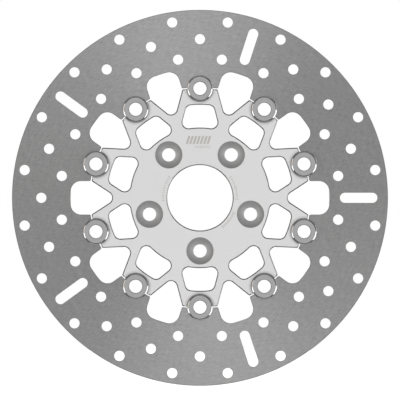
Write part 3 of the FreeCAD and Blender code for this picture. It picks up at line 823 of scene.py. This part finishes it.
# %% The distance from the nearest drive button
from_button, _, result = new_group("from_button", [], [("Distance", FLOAT)])
parts, outwards = off_axle(from_button)
away = length(from_button, outwards)
clock = calculate(from_button, "ARCTAN2", parts["Z"], parts["X"])
folded = calculate(from_button, "PINGPONG", clock, math.radians(PITCH / 2))
lean = calculate(from_button, "SUBTRACT", folded, math.radians(PITCH / 2))
along = calculate(from_button, "MULTIPLY", away, calculate(from_button, "COSINE", lean))
across = calculate(from_button, "MULTIPLY", away, calculate(from_button, "SINE", lean))
beyond = calculate(from_button, "SUBTRACT", along, BUTTON_CIRCLE * MM)
offset = place(from_button, "ShaderNodeCombineXYZ", {"X": beyond, "Y": across}).outputs[0]
from_button.links.new(length(from_button, offset), result.inputs["Distance"])
print("group:", from_button.name)

# %% A slightly cloudy tone
cloudy_tone, given, result = new_group(
    "cloudy_tone",
    [("Colour", COLOUR, (0.5, 0.5, 0.5, 1)), ("Patch Size", FLOAT, 0.03), ("Amount", FLOAT, 0.05)],
    [("Colour", COLOUR)],
)
scale = calculate(cloudy_tone, "DIVIDE", 1.0, given.outputs["Patch Size"])
clouds = noise_at(cloudy_tone, object_point(cloudy_tone), scale, detail=3.0)
gain = around(cloudy_tone, clouds, 1.0, given.outputs["Amount"])
cloudy_tone.links.new(scaled(cloudy_tone, given.outputs["Colour"], gain), result.inputs["Colour"])
print("group:", cloudy_tone.name)


# %% A metal to start each finish from
def new_metal(name, roughness, anisotropic=0.0):
    """Makes a metal material with its shader's own constants set; returns it, its tree and its shader."""
    material = bpy.data.materials.new(name)
    material.use_nodes = True
    tree = material.node_tree
    shader = tree.nodes["Principled BSDF"]
    shader.inputs["Metallic"].default_value = 1.0
    shader.inputs["Roughness"].default_value = roughness
    shader.inputs["Anisotropic"].default_value = anisotropic
    shader.inputs["Anisotropic Rotation"].default_value = 0.25 if anisotropic else 0.0
    return material, tree, shader


def use_group(tree, group, **values):
    """Places a group in a material; an input called Stroke Width is given as stroke_width."""
    node = place(tree, "ShaderNodeGroup", node_tree=group)
    for label, value in values.items():
        fill_socket(tree, node.inputs[label.replace("_", " ").title()], value)
    return node.outputs[0]


def tint(tree, shader, colour, patch_size, amount):
    """Gives a metal its base colour, in slightly lighter and darker patches."""
    shade = use_group(tree, cloudy_tone, colour=colour, patch_size=patch_size, amount=amount)
    tree.links.new(shade, shader.inputs["Base Color"])


def vary_roughness(tree, shader, mask, swing):
    """Lets a mask swing the roughness about the shader's own value."""
    middle = shader.inputs["Roughness"].default_value
    tree.links.new(around(tree, mask, middle, swing), shader.inputs["Roughness"])


def relief(tree, shader, height, depth):
    """Bumps a surface by a height of 0 to 1 times a depth in metres."""
    bump = place(tree, "ShaderNodeBump", {"Distance": depth, "Height": height})
    tree.links.new(bump.outputs[0], shader.inputs["Normal"])


def grey(level):
    return (level, level, level, 1)


# %% [markdown]
# ## The ground ring
#
# The ring's faces are ground flat. Two families of strokes cross on them: straight ones from the surface
# grinder, and faint rings from the turning before it. Strokes spread a reflection across their own
# direction, so the ring has a soft bow tie of light that turns with the light and not with the ring. The
# shader's anisotropy does that, with a tangent that runs round the axle.

# %% Ground faces
GRINDING = math.radians(-30)

ground, tree, shader = new_metal("ground_steel", 0.45, anisotropic=0.8)
strokes = use_group(tree, straight_strokes, stroke_width=0.0003, stroke_length=0.004, turn=GRINDING)
fine = use_group(tree, straight_strokes, stroke_width=0.00018, stroke_length=0.005, turn=GRINDING)
rings = use_group(tree, round_strokes, stroke_width=0.0003, stroke_length=0.008)
blend = {"Factor": 0.3, "A": strokes, "B": rings}
crossed = place(tree, "ShaderNodeMix", blend, data_type="FLOAT").outputs[0]
tone = scaled(tree, (0.37, 0.37, 0.37), around(tree, crossed, 1.0, 1.45))
tint(tree, shader, tone, patch_size=0.06, amount=0.05)
vary_roughness(tree, shader, fine, 0.12)
relief(tree, shader, fine, 0.000006)
tangent = place(tree, "ShaderNodeTangent", direction_type="RADIAL", axis="Y").outputs[0]
tree.links.new(tangent, shader.inputs["Tangent"])

# %% Cut edges
cut_steel, tree, shader = new_metal("cut_steel", 0.42)
feed = streaks(tree, across=900, through=3500)
tint(tree, shader, grey(0.3), patch_size=0.008, amount=0.2)
vary_roughness(tree, shader, feed, 0.2)
relief(tree, shader, feed, 0.00002)
for finish in (ground, cut_steel):
    friction_ring.data.materials.append(finish)
print("materials:", ground.name, cut_steel.name)

# %% [markdown]
# ## The satin carrier
#
# The carrier is lighter metal with a fine blasted finish, then machined. The blasting leaves a very small
# grain with no direction, so noise at about two tenths of a millimetre drives a little roughness and a
# shallow bump, and the shader stays an ordinary rough metal. The outline is chamfered after blasting, so
# the chamfers and walls are bare, darker metal with marks that run through the plate, and smoother, so that
# they reflect one side of the room and not all of it. The countersinks are rougher, with painted shade:
# darker at the rim and lighter towards the bolt hole. The spot faces show the cutter's rings, and a painted
# shadow: a dark ring round each button's head, where the gap under the head lies in shade.

# %% Satin face
satin, tree, shader = new_metal("satin_metal", 0.5)
grain = noise_at(tree, object_point(tree), scale=4500.0)
tint(tree, shader, grey(0.87), patch_size=0.05, amount=0.04)
vary_roughness(tree, shader, grain, 0.1)
relief(tree, shader, grain, 0.000012)

# %% Carrier edges
cut_edge, tree, shader = new_metal("cut_edge", 0.24)
drag = streaks(tree, across=2500, through=250)
tint(tree, shader, grey(0.37), patch_size=0.006, amount=0.2)
vary_roughness(tree, shader, drag, 0.1)
relief(tree, shader, drag, 0.000012)

# %% Countersinks
milled, tree, shader = new_metal("milled_sink", 0.93)
height = place(tree, "ShaderNodeSeparateXYZ", {"Vector": object_point(tree)}).outputs["Y"]
# Painted shade: the countersink's colour is darker at its rim and lighter towards the bolt hole.
painted_sink_shade = graded(tree, height, -CARRIER_FRONT, sink_depth - CARRIER_FRONT, 0.6, 0.85)
chatter = streaks(tree, across=300, through=4000)
tint(tree, shader, painted_sink_shade, patch_size=0.005, amount=0.1)
vary_roughness(tree, shader, chatter, 0.1)
relief(tree, shader, chatter, 0.00002)

# %% Spot faces, with a painted shadow round each button's head
HEAD_SHADOW_WIDTH, TOOL_STEP = 1.2, 0.0002

spot_faced, tree, shader = new_metal("spot_faced", 0.5)
distance = use_group(tree, from_button)
# Painted shadow: the spot face is darkest at the head's edge and fades out over the width beyond it, where
# the gap under the head lies in shade.
painted_head_shadow = graded(tree, distance, HEAD, HEAD + HEAD_SHADOW_WIDTH, 0.22, 0.8)
path = {"W": calculate(tree, "DIVIDE", distance, TOOL_STEP), "Scale": 1.0}
tool_marks = place(tree, "ShaderNodeTexNoise", path, noise_dimensions="1D").outputs["Fac"]
tint(tree, shader, painted_head_shadow, patch_size=0.004, amount=0.12)
vary_roughness(tree, shader, tool_marks, 0.15)
relief(tree, shader, tool_marks, 0.00001)
for finish in (satin, cut_edge, milled, spot_faced):
    hub_carrier.data.materials.append(finish)

# %% Etched tracks
etched, tree, shader = new_metal("etched_track", 0.6)
tint(tree, shader, (0.72, 0.68, 0.64, 1), patch_size=0.002, amount=0.15)
etched_marks.data.materials.append(etched)
print("materials:", satin.name, cut_edge.name, milled.name, spot_faced.name, etched.name)

# %% [markdown]
# ## Buttons, washers and clips
#
# A drive button's face is left as the lathe tool cut it, and only its bevel is polished, which is why the
# bevel shows thin bright arcs where a light stands and is dark elsewhere. Both finishes use the same groove
# group with their own widths. The polished one has a low roughness, because a sharp reflection comes from a
# smooth surface and not from a lighter colour.
#
# Behind the disc, the flat washers are plain bright steel. The sprung washers are tempered, which leaves a
# faint straw and blue tint that drifts over the strip. The clips are phosphated: a grey-black coat of tiny
# crystals, rough, with a speckled tone.

# %% Button faces and their polished bevels
turned, tree, shader = new_metal("turned_steel", 0.34)
grooves = use_group(tree, turned_grooves, groove_width=0.00022)
tint(tree, shader, grey(0.335), patch_size=0.004, amount=0.06)
vary_roughness(tree, shader, grooves, 0.16)
relief(tree, shader, grooves, 0.000008)

polished, tree, shader = new_metal("polished_bevel", 0.12)
grooves = use_group(tree, turned_grooves, groove_width=0.00012)
tint(tree, shader, grey(0.58), patch_size=0.003, amount=0.05)
vary_roughness(tree, shader, grooves, 0.06)
for piece in buttons:
    piece.data.materials.append(turned)
    piece.data.materials.append(polished)
print("materials:", turned.name, polished.name)

# %% Washers and clips
bright_washer, tree, shader = new_metal("bright_washer", 0.3)
grooves = use_group(tree, turned_grooves, groove_width=0.0003)
tint(tree, shader, (0.55, 0.55, 0.56, 1), patch_size=0.005, amount=0.1)
vary_roughness(tree, shader, grooves, 0.15)
relief(tree, shader, grooves, 0.00001)

STRAW, BLUE = (0.30, 0.27, 0.24, 1), (0.36, 0.36, 0.39, 1)
tempered, tree, shader = new_metal("tempered_spring", 0.3)
drift = noise_at(tree, object_point(tree), scale=140.0, detail=3.0)
heat = place(tree, "ShaderNodeValToRGB", {"Fac": drift})
for stop, position, colour in zip(heat.color_ramp.elements, (0.35, 0.65), (STRAW, BLUE)):
    stop.position, stop.color = position, colour
tree.links.new(heat.outputs[0], shader.inputs["Base Color"])
vary_roughness(tree, shader, drift, 0.2)

phosphated, tree, shader = new_metal("phosphated_clip", 0.5)
crystals = noise_at(tree, object_point(tree), scale=6000.0)
tint(tree, shader, grey(0.12), patch_size=0.0015, amount=0.5)
vary_roughness(tree, shader, crystals, 0.2)
relief(tree, shader, crystals, 0.00002)
for pieces, finish in ((thrust_washers, bright_washer), (wave_washers, tempered), (circlips, phosphated)):
    for piece in pieces:
        piece.data.materials.append(finish)
print("materials:", bright_washer.name, tempered.name, phosphated.name)

# %% [markdown]
# ## Floor, light and camera
#
# Metal shows its surroundings more than its own colour, so the lights are part of the finish. A tall soft
# box straight in front of the disc fills the flat faces, and the camera looks through it. Its height and
# slight lean are what draw the bow tie on the ground ring. Smaller boxes far out to the sides are there for
# the polished bevels: each is a bright arc at the clock angle where it stands. The same set stands behind
# the disc, so its back is lit as well as its front. Two more stand level with the disc, one below it and
# one to its right. They give the 45 degree chamfers that face them something to reflect.
#
# The surround is white for the camera, as on a sheet of background paper, and dim for reflections, so that
# edges stay dark against it. The long lens looks straight at the disc from the outboard side, which keeps
# its walls out of sight and its circles round.

# %% The floor
FLOOR_HALF = 3.0

floor_form = bmesh.new()
bmesh.ops.create_grid(floor_form, x_segments=1, y_segments=1, size=FLOOR_HALF)
bmesh.ops.translate(floor_form, verts=floor_form.verts, vec=(0, 0, cad_low.z))
floor_mesh = bpy.data.meshes.new("floor")
floor_form.to_mesh(floor_mesh)
floor_form.free()
floor = bpy.data.objects.new("floor", floor_mesh)
bpy.context.scene.collection.objects.link(floor)
floor.visible_glossy = False
floor.visible_diffuse = False
floor.visible_shadow = False
pale = bpy.data.materials.new("pale_floor")
pale.use_nodes = True
pale_shader = pale.node_tree.nodes["Principled BSDF"]
pale_shader.inputs["Base Color"].default_value = (0.9, 0.9, 0.9, 1)
pale_shader.inputs["Roughness"].default_value = 0.8
pale_shader.inputs["Emission Color"].default_value = (1, 1, 1, 1)
pale_shader.inputs["Emission Strength"].default_value = 0.8
floor.data.materials.append(pale)
print("floor at", round(cad_low.z * 1000, 1), "mm")


# %% Soft boxes
KEY_DISTANCE, KEY_LEAN, BOX_DISTANCE = 4.2, 8, 2.2
WHITE, WARM = (1, 1, 1), (1, 0.9, 0.8)


def soft_box(name, direction, distance, width, height, brightness, colour=WHITE, lean=0):
    """A rectangular light that faces the disc's middle from a direction, with an even brightness."""
    lamp = bpy.data.lights.new(name, "AREA")
    lamp.shape = "RECTANGLE"
    lamp.size, lamp.size_y = width, height
    lamp.energy = brightness * math.pi * width * height
    lamp.color = colour
    box = bpy.data.objects.new(name, lamp)
    bpy.context.scene.collection.objects.link(box)
    towards = Vector(direction).normalized()
    box.location = towards * distance
    facing = towards.to_track_quat("Z", "Y").to_matrix()
    box.rotation_euler = (facing @ Matrix.Rotation(math.radians(lean), 3, "Z")).to_euler()
    box.visible_camera = False


def from_axle(polar_angle, clock_angle):
    """A direction at an angle off the axle, at a clock angle seen from the outboard side."""
    off, clock = math.radians(polar_angle), math.radians(clock_angle)
    return Vector((math.sin(off) * math.cos(clock), -math.cos(off), math.sin(off) * math.sin(clock)))


for label, side in (("front", 1), ("rear", -1)):
    soft_box(f"{label}_key", (0, -side, 0), KEY_DISTANCE, 2.2, 8.0, 1.25, lean=KEY_LEAN * side)
    for name, off, clock, width, height, brightness, colour in (
        ("lower_right", 72, -21, 0.7, 1.6, 2.3, WHITE),
        ("lower_left", 72, 199, 0.7, 0.95, 2.3, WHITE),
        ("upper_left", 72, 168, 0.7, 1.3, 1.1, WARM),
        ("above", 72, 90, 2.6, 0.7, 0.12, WHITE),
    ):
        towards = from_axle(off, clock) * Vector((1, side, 1))
        soft_box(f"{label}_{name}", towards, BOX_DISTANCE, width, height, brightness, colour)
soft_box("below_edge_on", (0, 0, -1), BOX_DISTANCE, 2.6, 0.5, 1.0)
soft_box("right_edge_on", (1, 0, 0), BOX_DISTANCE, 0.5, 2.6, 1.6)

# %% A white surround for the camera and a grey one for reflections
world = bpy.data.worlds.new("studio")
bpy.context.scene.world = world
world.use_nodes = True
tree = world.node_tree
tree.nodes.clear()
seen = place(tree, "ShaderNodeBackground", {"Color": (1, 1, 1, 1), "Strength": 1.0}).outputs[0]
fill = place(tree, "ShaderNodeBackground", {"Color": (1, 1, 1, 1), "Strength": 0.2}).outputs[0]
to_camera = place(tree, "ShaderNodeLightPath").outputs["Is Camera Ray"]
surround = place(tree, "ShaderNodeMixShader", {0: to_camera, 1: fill, 2: seen}).outputs[0]
place(tree, "ShaderNodeOutputWorld", {"Surface": surround})
bpy.context.scene.view_settings.view_transform = "Standard"
print("surround ready")

# %% The camera
PICTURE_MARGIN, CAMERA_DROP = 1.064, 1.7

middle = (cad_low + cad_high) / 2
lens = bpy.data.cameras.new("camera")
lens.lens, lens.sensor_width = 1500, 36
lens.clip_start, lens.clip_end = 1, 100
camera = bpy.data.objects.new("camera", lens)
bpy.context.scene.collection.objects.link(camera)
picture_width = (cad_high.x - cad_low.x) * PICTURE_MARGIN
distance = picture_width * lens.lens / lens.sensor_width
camera.location = (middle.x, -RING_FRONT * MM - distance, middle.z - CAMERA_DROP * MM)
camera.rotation_euler = (math.radians(90), 0, 0)
bpy.context.scene.camera = camera
print("camera", round(distance, 3), "m in front of the ring")
